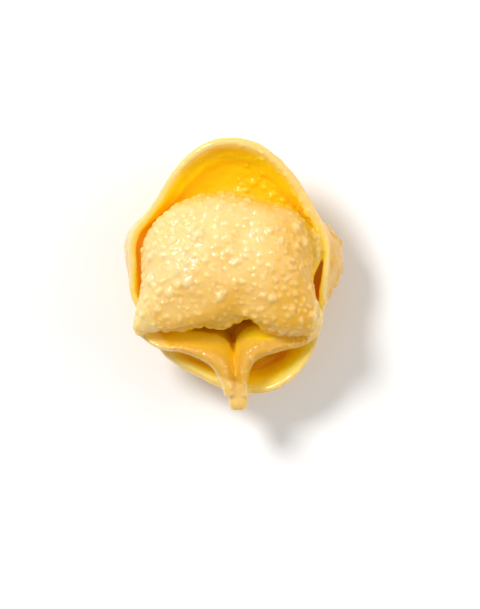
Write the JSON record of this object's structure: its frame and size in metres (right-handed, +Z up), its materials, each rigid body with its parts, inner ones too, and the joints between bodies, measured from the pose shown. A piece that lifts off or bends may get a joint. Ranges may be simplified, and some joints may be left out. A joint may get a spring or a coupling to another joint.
{
  "type": "cappelletto",
  "caption": "Filled egg pasta shaped like a little hat: a rounded belly wrapped by a turned-up brim, with its folded tips pinched together under it.",
  "frame": {"origin": "on the surface it lies on, under the middle of its outline", "axes": "+Z up out of the belly, +Y towards the crown of the brim, +X to the right as the belly is looked at"},
  "size_m": [0.0296, 0.0368, 0.0206],
  "materials": {
    "egg_dough": "moist cooked egg dough, satin, with small raised blisters"
  },
  "bodies": {
    "root": {"cappelletto": "egg_dough"}
  },
  "joints": []
}
